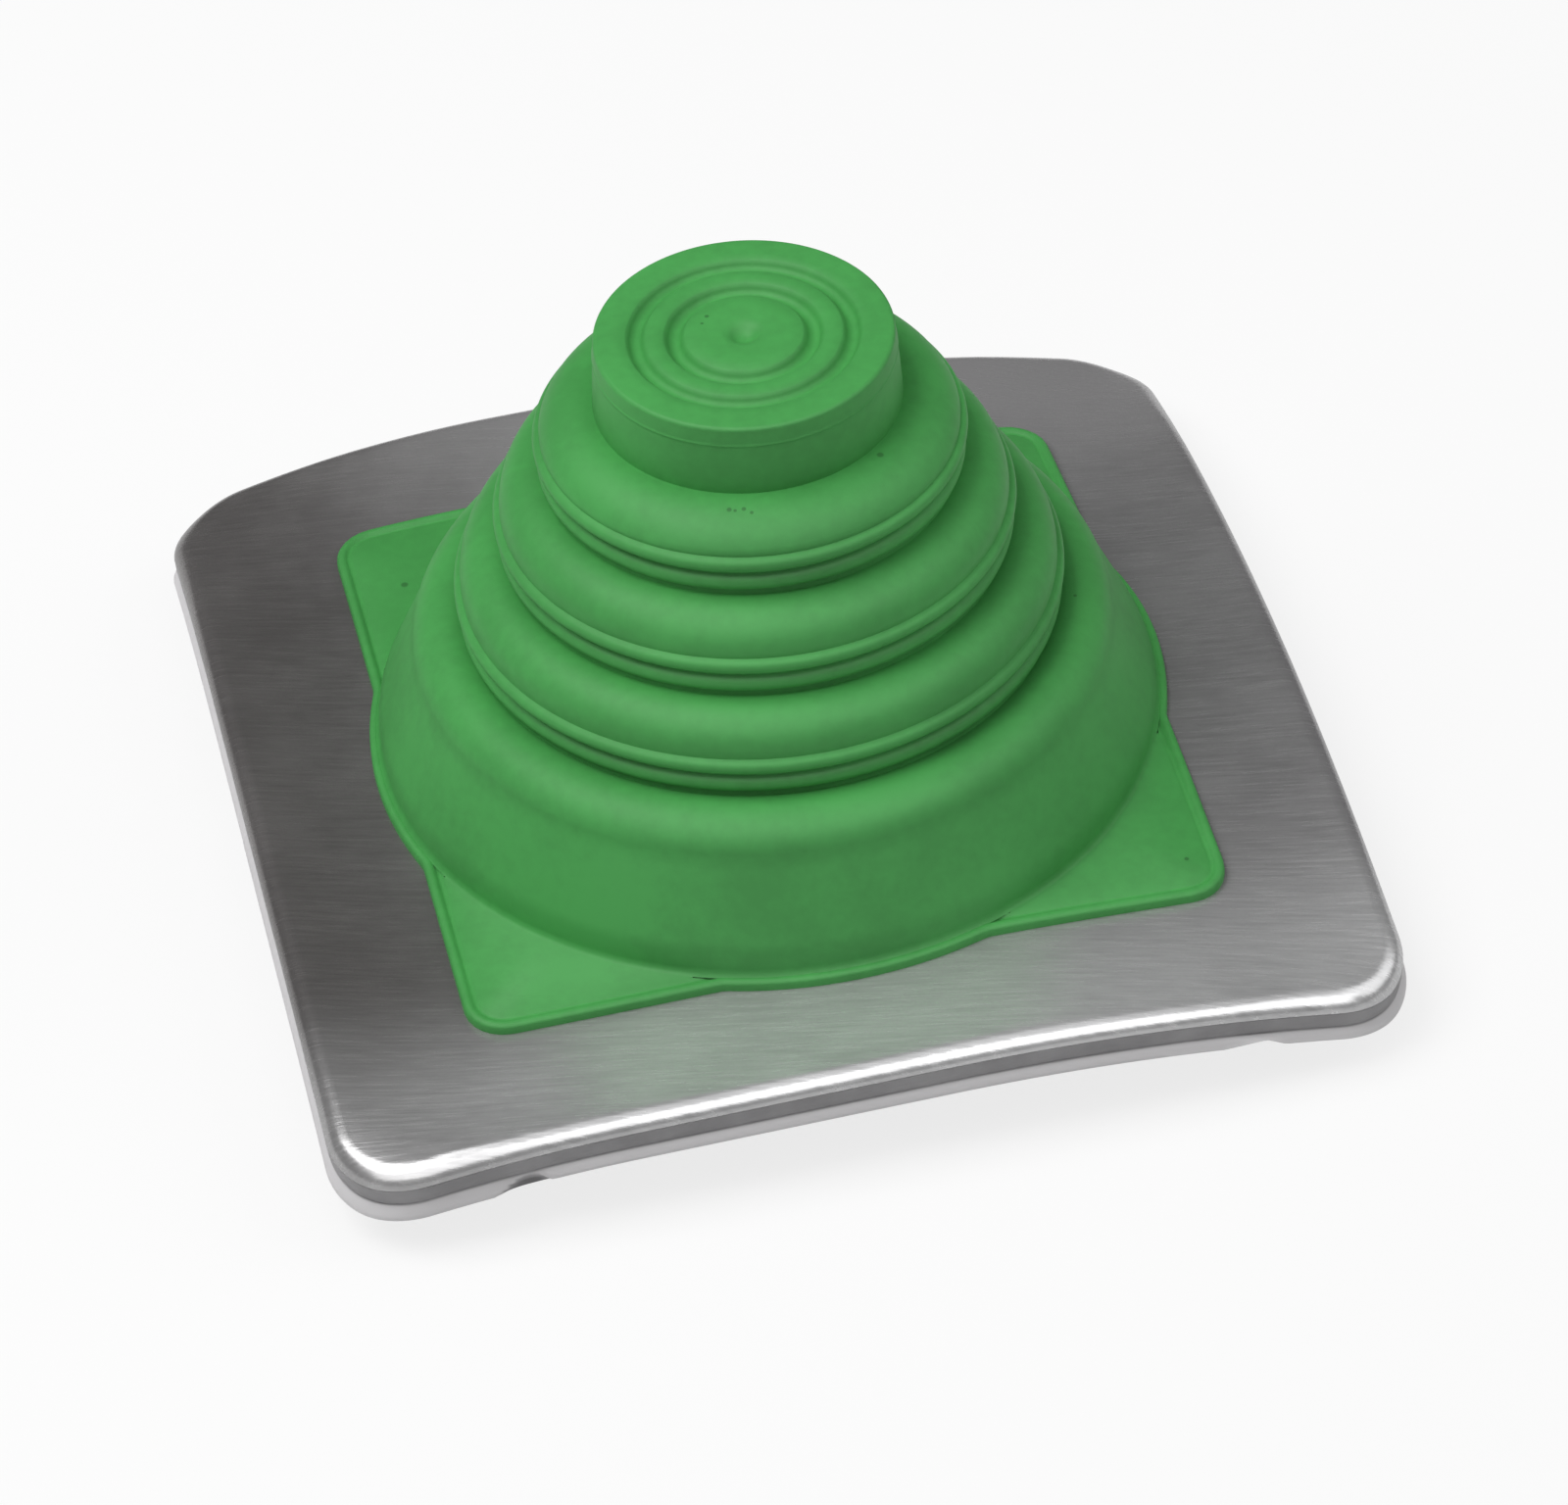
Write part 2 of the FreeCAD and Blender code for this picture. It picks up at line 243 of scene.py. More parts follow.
class Rings:
    """Skin that grows ring by ring round the boot's axis."""

    def __init__(self, segments):
        self.mesh = bmesh.new()
        self.layer = self.mesh.verts.layers.float.new("tone")
        bmesh.ops.create_circle(self.mesh, segments=segments, radius=1.0)
        self.first = self.mesh.edges[:]
        self.last = self.first
        self.fresh = True

    def add(self, place, tone=None):
        """Extrudes the last ring and puts each new point where the angle says."""
        if self.fresh:
            self.fresh = False
            verts = self.mesh.verts[:]
        else:
            made = bmesh.ops.extrude_edge_only(self.mesh, edges=self.last)["geom"]
            verts = [part for part in made if isinstance(part, bmesh.types.BMVert)]
            new = set(verts)
            self.last = [
                part for part in made
                if isinstance(part, bmesh.types.BMEdge) and new.issuperset(part.verts)
            ]
        for vert in verts:
            angle = math.atan2(vert.co.y, vert.co.x)
            radius, height = place(angle)
            vert.co = (radius * math.cos(angle), radius * math.sin(angle), height)
            vert[self.layer] = tone(angle) if tone else 0.0

    def circle(self, radius, height):
        self.add(lambda angle: (radius, height))

    def outline(self, shape, level, sag=None, tone=None):
        """Ring that follows an outline on the bent plate, and hangs lower by the sag."""
        def place(angle):
            radius = shape(angle)
            height = level + bend(radius * math.cos(angle), radius * math.sin(angle))
            return radius, height - sag(angle) if sag else height
        self.add(place, tone)

    def centre(self, edges):
        """Draws one ring together into a point."""
        verts = list({vert for edge in edges for vert in edge.verts})
        middle = sum((vert.co for vert in verts), Vector()) / len(verts)
        bmesh.ops.pointmerge(self.mesh, verts=verts, merge_co=middle)

    def join(self):
        """Bridges the last ring to the first."""
        bmesh.ops.bridge_loops(self.mesh, edges=self.first + self.last)

    def finish(self, name, sharp):
        """Object with faces outwards, smooth but for its sharp edges."""
        bmesh.ops.recalc_face_normals(self.mesh, faces=self.mesh.faces)
        for face in self.mesh.faces:
            face.smooth = True
        for edge in self.mesh.edges:
            if edge.is_manifold and edge.calc_face_angle() > sharp:
                edge.smooth = False
        data = bpy.data.meshes.new(name)
        self.mesh.to_mesh(data)
        self.mesh.free()
        piece = bpy.data.objects.new(name, data)
        bpy.context.scene.collection.objects.link(piece)
        return piece


class Section:
    """Half section as a list of radius and height, drawn stretch by stretch."""

    def __init__(self, radius, height):
        self.points = [(radius, height)]

    def line(self, radius, height, steps=1):
        here_radius, here_height = self.points[-1]
        for step in range(1, steps + 1):
            share = step / steps
            self.points.append((
                here_radius + (radius - here_radius) * share,
                here_height + (height - here_height) * share,
            ))

    def bow(self, radius, height, bulge, steps):
        """Arc that stands off its chord by the bulge, to the left of the way it goes."""
        start = Vector(self.points[-1])
        end = Vector((radius, height))
        chord = end - start
        side = Vector((-chord.y, chord.x)).normalized()
        arc_radius = (chord.length_squared / 4 + bulge ** 2) / (2 * abs(bulge))
        centre = (start + end) / 2 + side * (bulge - math.copysign(arc_radius, bulge))
        spoke = start - centre
        turn = spoke.angle_signed(end - centre)
        for step in range(1, steps + 1):
            share = -turn * step / steps
            run = spoke.x * math.cos(share) - spoke.y * math.sin(share)
            rise = spoke.x * math.sin(share) + spoke.y * math.cos(share)
            self.points.append((centre.x + run, centre.y + rise))


class Value:
    """A shader socket that takes part in Python expressions."""

    def __init__(self, shader, socket):
        self.shader = shader
        self.socket = socket

    def maths(self, operation, first, second):
        return self.shader.node("ShaderNodeMath", {"operation": operation}, {0: first, 1: second})

    def __add__(self, other):
        return self.maths("ADD", self, other)

    def __sub__(self, other):
        return self.maths("SUBTRACT", self, other)

    def __rsub__(self, other):
        return self.maths("SUBTRACT", other, self)

    def __mul__(self, other):
        return self.maths("MULTIPLY", self, other)

    __radd__ = __add__
    __rmul__ = __mul__


class Shader:
    """The nodes of one material or world, built from expressions."""

    def __init__(self, owner):
        owner.use_nodes = True
        self.owner = owner
        self.tree = owner.node_tree
        self.tree.nodes.clear()

    @classmethod
    def material(cls, name):
        """Shader of a new material, with the place on the object."""
        shader = cls(bpy.data.materials.new(name))
        shader.place = shader.node("ShaderNodeTexCoord", output="Object")
        return shader

    def node(self, kind, settings=None, inputs=None, output=0):
        """Adds a node: its settings first, then the values or links of its sockets."""
        node = self.tree.nodes.new(kind)
        for name, value in (settings or {}).items():
            setattr(node, name, value)
        for name, value in (inputs or {}).items():
            if isinstance(value, Value):
                self.tree.links.new(value.socket, node.inputs[name])
            else:
                node.inputs[name].default_value = value
        return Value(self, node.outputs[output]) if node.outputs else None

    def noise(self, scale, detail=3.0, roughness=0.55, place=None):
        """Noise whose scale counts grains per metre."""
        return self.node(
            "ShaderNodeTexNoise", {},
            {"Vector": place or self.place, "Scale": scale, "Detail": detail, "Roughness": roughness},
        )

    def turned(self, angle, stretch):
        """Object coordinates turned about the axis and stretched."""
        turned = self.node(
            "ShaderNodeVectorRotate", {"rotation_type": "Z_AXIS"}, {"Vector": self.place, "Angle": angle}
        )
        return self.node("ShaderNodeVectorMath", {"operation": "MULTIPLY"}, {0: turned, 1: stretch})

    def between(self, value, low, high):
        """Smooth step from 0 at low to 1 at high."""
        return self.node(
            "ShaderNodeMapRange", {"interpolation_type": "SMOOTHSTEP"},
            {"Value": value, "From Min": low, "From Max": high},
        )

    def mix(self, factor, first, second):
        """Mix of two colours."""
        return self.node(
            "ShaderNodeMix", {"data_type": "RGBA"}, {0: factor, 6: first, 7: second}, output=2
        )

    def mottled(self, value, low, high, colour, dark, light):
        """A colour that goes from dark to light as a value goes from low to high."""
        return self.mix(self.between(value, low, high), shade(colour, dark), shade(colour, light))

    def near(self, point, radius):
        """1 at a point, falling to 0 at the radius."""
        away = self.node(
            "ShaderNodeVectorMath", {"operation": "DISTANCE"}, {0: self.place, 1: point}, output=1
        )
        return 1 - self.between(away, radius * 0.55, radius)

    def along(self, axis):
        """One coordinate of the place."""
        return self.node("ShaderNodeSeparateXYZ", {}, {0: self.place}, output=axis)

    def streak(self, start, end, width):
        """1 along a straight mark between two points, falling to 0 at its width."""
        run = Vector(end) - Vector(start)
        away = self.node("ShaderNodeVectorMath", {"operation": "SUBTRACT"}, {0: self.place, 1: start})
        share = self.node(
            "ShaderNodeVectorMath", {"operation": "DOT_PRODUCT"},
            {0: away, 1: run / run.length_squared}, output=1,
        )
        share = self.node("ShaderNodeClamp", {}, {0: share})
        foot = self.node("ShaderNodeVectorMath", {"operation": "SCALE"}, {0: run, 3: share})
        gap = self.node("ShaderNodeVectorMath", {"operation": "DISTANCE"}, {0: away, 1: foot}, output=1)
        return 1 - self.between(gap, width * 0.4, width)

    def bump(self, height, distance, strength=1.0):
        return self.node(
            "ShaderNodeBump", {}, {"Height": height, "Distance": distance, "Strength": strength}
        )

    def finish(self, inputs):
        """Ends the material in one surface shader."""
        self.node("ShaderNodeOutputMaterial", {}, {
            "Surface": self.node("ShaderNodeBsdfPrincipled", {}, inputs),
        })
        return self.owner

    def seen_or_lit(self, kind, lit, seen, share):
        """Ends the nodes in one surface for light, and by a share in another for the camera."""
        camera = self.node("ShaderNodeLightPath", output="Is Camera Ray")
        self.node(kind, {}, {
            "Surface": self.node("ShaderNodeMixShader", {}, {0: camera * share, 1: lit, 2: seen}),
        })
        return self.owner


def shade(colour, amount):
    """A colour made lighter or darker, with alpha."""
    return (colour[0] * amount, colour[1] * amount, colour[2] * amount, 1.0)


# Specks on the rubber: place and radius
RUBBER_SPECKS = (
    ((-5.5 * MM, 6.5 * MM, 114.7 * MM), 0.55 * MM),
    ((-6.8 * MM, 4.7 * MM, 114.7 * MM), 0.4 * MM),
    ((-10.6 * MM, -31.3 * MM, 100.1 * MM), 0.6 * MM),
    ((-9.6 * MM, -31.8 * MM, 100.0 * MM), 0.4 * MM),
    ((-8.0 * MM, -31.9 * MM, 100.1 * MM), 0.55 * MM),
    ((-6.8 * MM, -33.0 * MM, 99.9 * MM), 0.45 * MM),
    ((19.3 * MM, -24.3 * MM, 100.4 * MM), 0.8 * MM),
    ((57.0 * MM, -17.5 * MM, 51.6 * MM), 0.45 * MM),
    ((-61.0 * MM, 53.3 * MM, 24.0 * MM), 0.9 * MM),
    ((65.8 * MM, -63.3 * MM, 22.4 * MM), 0.6 * MM),
)

# Dark marks on the aluminium: place and radius
DARK_METAL_MARKS = (
    ((89.1 * MM, 8.0 * MM, 22.8 * MM), 0.7 * MM),
    ((87.6 * MM, 1.9 * MM, 23.0 * MM), 0.7 * MM),
    ((88.3 * MM, 0.1 * MM, 23.1 * MM), 0.5 * MM),
    ((90.2 * MM, -7.5 * MM, 23.2 * MM), 0.8 * MM),
    ((88.9 * MM, -9.5 * MM, 23.2 * MM), 0.7 * MM),
)

# Light scratches on the aluminium: start, end and half width
SCRATCHES = (
    ((62.7 * MM, 93.6 * MM, 16.7 * MM), (90.3 * MM, 78.8 * MM, 13.7 * MM), 0.45 * MM),
    ((80.5 * MM, -15.8 * MM, 23.1 * MM), (85.2 * MM, -17.2 * MM, 23.1 * MM), 0.4 * MM),
    ((80.2 * MM, -17.0 * MM, 23.1 * MM), (84.6 * MM, -18.3 * MM, 23.1 * MM), 0.35 * MM),
)


# Tones that the seal's points carry: 1 on the lip's painted highlight, 0 on plain rubber and this on the
# underside's painted shade
UNDERSIDE_SHADE_TONE = -0.6


def rubber_material(settings):
    """Matt green moulded rubber with faint mottling and a few dark specks."""
    shader = Shader.material("green_rubber")
    cloud = shader.noise(28.0, 4.0)
    fine = shader.noise(420.0, 3.0)
    mottle = cloud * 0.75 + fine * 0.25
    base = shader.mottled(mottle, 0.35, 0.65, settings.green, 0.90, 1.10)
    specks = 0.0
    for point, radius in RUBBER_SPECKS:
        specks = specks + shader.near(point, radius)
    base = shader.mix(specks * 0.6, base, shade(settings.green, 0.25))
    grain = shader.noise(1500.0, 2.0)
    return shader.finish({
        "Base Color": base,
        "Roughness": 0.50 + shader.noise(60.0) * 0.12,
        "Specular IOR Level": 0.25,
        "Normal": shader.bump(grain * 0.4 + cloud * 0.6, distance=0.12 * MM, strength=0.35),
    })


def metal_material(settings):
    """Mill-finish aluminium whose colour is painted by place: a painted reflection brightens the front
    margin, painted shade darkens the right and back, and the darkest painted shade lies on the left
    side.
    """
    shader = Shader.material("mill_finish_aluminium")
    grain = shader.noise(1.0, 3.0, 0.6, shader.turned(math.radians(14.0), (90.0, 1500.0, 500.0)))
    smudge = shader.noise(26.0, 5.0, 0.6)
    tone = grain * 0.4 + smudge * 0.6
    # Front margin: the full metal colour, brighter as a painted reflection.
    bright = shader.mottled(tone, 0.32, 0.68, settings.metal, 0.74, 1.0)
    # Where the painted reflection and painted shade fall: left side, front margin, front-left corner and
    # back.
    left = 1 - shader.between(shader.along("X") + smudge * 0.05, -75 * MM, 15 * MM)
    front = 1 - shader.between(shader.along("Y") + smudge * 0.03, -78 * MM, -38 * MM)
    corner = 1 - shader.between(shader.along("X") + smudge * 0.03, -85 * MM, -35 * MM)
    back = shader.between(shader.along("Y") + smudge * 0.03, 58 * MM, 100 * MM)
    # Right and back: painted shade, lighter towards the back.
    shaded_right_and_back = shader.mottled(tone, 0.32, 0.68, settings.painted_shade_metal, 0.85, 1.15)
    shaded_right_and_back = shader.mix(back, shaded_right_and_back, shade(settings.painted_shade_metal, 1.35))
    # Left side: the darkest painted shade.
    shaded_left = shader.mottled(tone, 0.32, 0.68, settings.painted_left_shade, 0.85, 1.15)
    # The front-left corner loses part of the front's painted reflection.
    base = shader.mix(front * (1 - corner * 0.4), shader.mix(left, shaded_right_and_back, shaded_left), bright)
    dark = 0.0
    for point, radius in DARK_METAL_MARKS:
        dark = dark + shader.near(point, radius)
    light = 0.0
    for start, end, width in SCRATCHES:
        light = light + shader.streak(start, end, width)
    # Real dark marks and light scratches, whose colours come from the left's painted shade and the metal
    # colour.
    base = shader.mix(dark * 0.6, base, shade(settings.painted_left_shade, 0.35))
    base = shader.mix(light * 0.7, base, shade(settings.metal, 1.2))
    return shader.finish({
        "Base Color": base,
        "Metallic": 0.55,
        "Roughness": 0.20 + grain * 0.12,
        "Normal": shader.bump(grain * 0.4 + smudge * 0.6, distance=0.3 * MM, strength=0.35),
    })


def seal_material(settings):
    """Matt grey rubber, with a painted highlight that makes the lip paler and painted shade that makes
    the scoop and lower edge darker.
    """
    shader = Shader.material("grey_seal_rubber")
    cloud = shader.noise(90.0, 4.0)
    tone = shader.node("ShaderNodeAttribute", {"attribute_name": "tone"}, output="Fac")
    base = shader.mottled(cloud, 0.3, 0.7, settings.grey, 0.88, 1.12)
    # Painted highlight: the lip is paler where its tone is high.
    base = shader.mix(shader.between(tone, 0.0, 1.0), base, shade(settings.painted_lip_highlight, 1.0))
    # Painted shade: the scoop and the lip's bottom are darker where their tone is low.
    base = shader.mix(1 - shader.between(tone, UNDERSIDE_SHADE_TONE, 0.0), base, shade(settings.grey, 0.55))
    return shader.finish({
        "Base Color": base,
        "Roughness": 0.55,
        "Normal": shader.bump(shader.noise(700.0), distance=0.1 * MM, strength=0.4),
    })


def seat(piece, material, node):
    """Gives a finished piece its material and its body, and hides the part that it stands for."""
    piece.data.materials.append(material)
    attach(piece, "root")
    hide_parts(node)


# Grooves in the top disc: radius, half width and depth
DISC_GROOVES = ((12.9 * MM, 1.8 * MM, 1.9 * MM), (20.0 * MM, 1.7 * MM, 1.7 * MM))

# The round part of the skirt ends this far above the bent flange
FOOT_CLEAR = 3.5 * MM

# Fillet from the skirt's foot to the flange: distance from the foot and height
FOOT_FILLET = ((0.15 * MM, 1.6 * MM), (0.5 * MM, 0.5 * MM), (1.1 * MM, 0.0))

# Groove and raised rim round the flange: distance inside the rim, and height
RIM_GROOVE = (
    (1.3 * MM, 0.0), (0.9 * MM, -0.35 * MM), (0.5 * MM, -0.5 * MM),
    (0.1 * MM, -0.3 * MM), (-0.3 * MM, 0.1 * MM),
)

# Round edge of the flange: distance from its outline, and height
FLANGE_EDGE = ((0.9 * MM, 0.15 * MM), (0.3 * MM, -0.1 * MM), (0.0, -0.6 * MM))


def boot_outside(s):
    """Section of the boot's outside, from the dimple to the skirt's foot."""
    section = draw_dimple()
    for radius, half, depth in DISC_GROOVES:
        draw_disc_groove(section, radius, half, depth)
    section.line(s.cap_radius - s.cap_edge, BOOT_TOP, 3)
    section.bow(s.cap_radius, BOOT_TOP - s.cap_edge, s.cap_edge * 0.29, 5)
    section.line(s.cap_radius + 0.01 * MM, BOOT_TOP - s.cap_edge - 0.15 * MM)
    draw_cap_wall(section, s)
    for tier in range(s.tiers):
        draw_tier(section, s, tier)
    section.bow(s.skirt_radius, BOOT_TOP - s.skirt_drop, shoulder_bulge(s, s.tiers), 14)
    section.line(s.foot_radius, SHEET_TOP + s.flange_thickness + FOOT_CLEAR, 8)
    return section.points


def draw_dimple():
    """Hollow in the middle of the top disc, where the section starts."""
    section = Section(0.4 * MM, BOOT_TOP - 1.9 * MM)
    section.bow(2.4 * MM, BOOT_TOP - 0.8 * MM, -0.18 * MM, 6)
    section.bow(4.3 * MM, BOOT_TOP, 0.16 * MM, 5)
    return section


def draw_disc_groove(section, radius, half, depth):
    """Broad soft groove in the top disc: rounded shoulders and a round bottom."""
    section.line(radius - half - 0.25 * MM, BOOT_TOP, 2)
    section.bow(radius - half * 0.65, BOOT_TOP - depth * 0.65, 0.1 * MM, 4)
    section.bow(radius + half * 0.65, BOOT_TOP - depth * 0.65, -depth * 0.35, 6)
    section.bow(radius + half + 0.25 * MM, BOOT_TOP, 0.1 * MM, 4)


def draw_cap_wall(section, s):
    """Wall of the cap, with the fine step where the two halves of the mould met."""
    drop = 3.7 * MM
    share = drop / s.cap_height
    radius = s.cap_radius + (s.cap_foot - s.cap_radius) * share
    section.line(radius, BOOT_TOP - drop + 0.45 * MM, 2)
    section.line(radius, BOOT_TOP - drop + 0.2 * MM)
    section.line(radius + 0.14 * MM, BOOT_TOP - drop, 1)
    section.line(radius + 0.14 * MM, BOOT_TOP - drop - 0.25 * MM, 1)
    section.line(radius + 0.03 * MM, BOOT_TOP - drop - 0.45 * MM, 1)
    section.line(radius + 0.04 * MM, BOOT_TOP - drop - 0.7 * MM, 1)
    section.line(s.cap_foot, BOOT_TOP - s.cap_height, 6)


def shoulder_bulge(s, tier):
    return s.bulge + tier * s.bulge_growth


def draw_bead(section, radius, height, half, depth):
    """Raised bead with a round top, reached along the wall above it."""
    root = radius - depth
    section.line(root, height + half + 0.1 * MM, 2)
    section.line(root + 0.15 * MM, height + half, 1)
    section.bow(root + 0.15 * MM, height - half, depth - 0.15 * MM, 12)
    section.line(root, height - half - 0.1 * MM, 1)


def draw_tier(section, s, tier):
    """Shoulder, short wall, bead, lower bead and valley."""
    radius = s.bead_radius + tier * s.tier_step
    height = BOOT_TOP - s.bead_drop - tier * s.tier_height
    section.bow(radius - s.bead_depth, height + s.wall_above, shoulder_bulge(s, tier), 14)
    draw_bead(section, radius, height, s.bead_half, s.bead_depth)
    draw_bead(section, radius - s.setback, height - s.bead_pitch, s.lower_half, s.bead_depth)
    section.line(radius - s.valley_depth, height - s.valley_drop, 1)


def boot_inside(s):
    """Section of the hollow, from the skirt up to the cap."""
    wall = s.wall
    section = Section(0.5 * MM, BOOT_TOP - wall)
    section.line(s.cap_radius - wall, BOOT_TOP - wall, 2)
    section.line(s.cap_foot - wall, BOOT_TOP - s.cap_height - wall, 2)
    for tier in range(s.tiers):
        collar = s.bead_radius + tier * s.tier_step - s.valley_depth - wall
        height = BOOT_TOP - s.bead_drop - tier * s.tier_height - wall
        section.bow(collar, height + s.wall_above, shoulder_bulge(s, tier), 8)
        section.line(collar, height - s.valley_drop, 2)
    section.bow(s.skirt_radius - wall, BOOT_TOP - s.skirt_drop - wall, shoulder_bulge(s, s.tiers), 8)
    section.line(s.foot_radius - wall, SHEET_TOP + FOOT_CLEAR, 3)
    return section.points[::-1]


def flange_shape(s, inset):
    """Outline of the flange, drawn in by the inset."""
    def shape(angle):
        square = square_radius(angle, s.flange_half - inset, max(s.flange_corner - inset, MM))
        return max(square, s.bulge_radius - inset)
    return shape


class MESH_OT_rubber_boot(bpy.types.Operator):
    """Rubber boot: cap, tiers, skirt and flange in one skin, hollow below"""

    bl_idname = "mesh.flashing_rubber_boot"
    bl_label = "Rubber boot"

    def execute(self, context):
        s = context.scene.flashing_boot
        rings = Rings(BOOT_SEGMENTS)
        for radius, height in boot_outside(s):
            rings.circle(radius, height)
        level = SHEET_TOP + s.flange_thickness
        foot = s.foot_radius
        for away, rise in FOOT_FILLET:
            rings.outline(circle_of(foot + away), level + rise)
        for away, rise in RIM_GROOVE:
            rings.outline(flange_shape(s, s.rim_width + away), level + rise)
        for inset, rise in FLANGE_EDGE:
            rings.outline(flange_shape(s, inset), level + rise)
        rings.outline(flange_shape(s, 0.0), SHEET_TOP)
        rings.outline(flange_shape(s, 4.0 * MM), SHEET_TOP)
        rings.outline(circle_of(foot - s.wall), SHEET_TOP)
        for radius, height in boot_inside(s):
            rings.circle(radius, height)
        rings.centre(rings.first)
        rings.centre(rings.last)
        piece = rings.finish("boot_moulding", MOULDED_SHARP)
        seat(piece, rubber_material(s), "rubber_boot")
        return {"FINISHED"}


class MESH_OT_flange_sheet(bpy.types.Operator):
    """Aluminium flange sheet with its rolled edge and roof hole"""

    bl_idname = "mesh.flashing_sheet"
    bl_label = "Flange sheet"

    def execute(self, context):
        s = context.scene.flashing_sheet
        rings = Rings(SHEET_SEGMENTS)
        lower = SHEET_TOP - s.thickness

        def edge(inset):
            return lambda angle: sheet_radius(angle, inset, s.corner)

        for step in range(SHEET_STEPS + 1):
            rings.outline(from_hole(edge(s.roll), step / SHEET_STEPS), SHEET_TOP)
        for step in range(1, ROLL_STEPS):
            turn = math.pi / 2 * step / ROLL_STEPS
            rings.outline(edge(s.roll * (1 - math.sin(turn))), SHEET_TOP - s.roll * (1 - math.cos(turn)))
        inner = s.roll - s.thickness
        for step in range(ROLL_STEPS - 1, 0, -1):
            turn = math.pi / 2 * step / ROLL_STEPS
            rings.outline(
                edge(s.thickness + inner * (1 - math.sin(turn))), lower - inner * (1 - math.cos(turn))
            )
        for step in range(SHEET_STEPS, -1, -1):
            rings.outline(from_hole(edge(s.roll), step / SHEET_STEPS), lower)
        rings.join()
        piece = rings.finish("flange_sheet", MOULDED_SHARP)
        seat(piece, metal_material(s), "aluminium_flange")
        return {"FINISHED"}


# At the front left the lip hangs lower, up to a scoop: place, half width, depth and sag
SCOOP_PLACE = -69.0 * MM
SCOOP_HALF = 5.4 * MM
SCOOP_DEPTH = 1.2 * MM
SCOOP_SAG = 0.9 * MM

# Share of the scoop's half width at the lip's top, growth of its depth downwards, and the painted shade
# in the scoop, as a loss of tone
SCOOP_TOP = 0.25
SCOOP_GROWTH = 1.6
SCOOP_SHADE = 1.7

# Shallow notch in the lip at the front right: place, reach to the left and right, and rise
NOTCH_PLACE = 69.5 * MM
NOTCH_REACH = (8.0 * MM, 3.6 * MM)
NOTCH_RISE = 1.5 * MM


def front_place(angle):
    """Place along the front side for an angle, or nothing on the other sides."""
    if math.sin(angle) > -0.5:
        return None
    return (SHEET_SHIFT.y - PLATE_HALF) / math.tan(angle)


def scoop(angle, share):
    """1 in the middle of the scoop, which is narrow at the lip's top and wide at its bottom."""
    x = front_place(angle)
    if x is None:
        return 0.0
    half = SCOOP_HALF * (SCOOP_TOP + (1.0 - SCOOP_TOP) * share)
    return max(0.0, 1.0 - ((x - SCOOP_PLACE) / half) ** 2) ** 0.5 * min(1.0, share * SCOOP_GROWTH)


def lip_sag(angle):
    """How much lower the lip's bottom hangs than elsewhere."""
    x = front_place(angle)
    if x is None:
        if math.sin(angle) < 0.0:
            # The front half of the left side hangs down like the front left corner
            return SCOOP_SAG * max(0.0, min(1.0, -math.cos(angle) * 8.0 - 6.0))
        reach = LIP_HALF / max(abs(math.cos(angle)), abs(math.sin(angle)))
        return LOW_CORNER_SAG * low_corner(reach * math.cos(angle), reach * math.sin(angle))
    if x < SCOOP_PLACE + SCOOP_HALF:
        share = min(1.0, (SCOOP_PLACE + SCOOP_HALF - x) / SCOOP_HALF)
        return SCOOP_SAG * share * (2.0 - share)
    reach = NOTCH_REACH[0] if x < NOTCH_PLACE else NOTCH_REACH[1]
    return -NOTCH_RISE * max(0.0, 1.0 - abs(x - NOTCH_PLACE) / reach)


# Seal inside the rolled edge and down its side: distance from the sheet's outline, and drop
SEAL_TOP_EDGE = (
    (1.0 * MM, -0.3 * MM), (0.35 * MM, 0.05 * MM), (0.1 * MM, 0.3 * MM), (0.15 * MM, 2.0 * MM),
)

# Lip: distance from the sheet's outline, share of the lip's stand-out, and share of its height
LIP_RINGS = (
    (0.45 * MM, 0.0, 0.1), (0.0, 0.0, 0.33), (0.0, 0.6, 0.6), (0.0, 1.0, 0.83), (0.05 * MM, 1.0, 0.94),
)

# The ribs' faces lie this far above the lip's bottom
RIB_RISE = 0.05 * MM


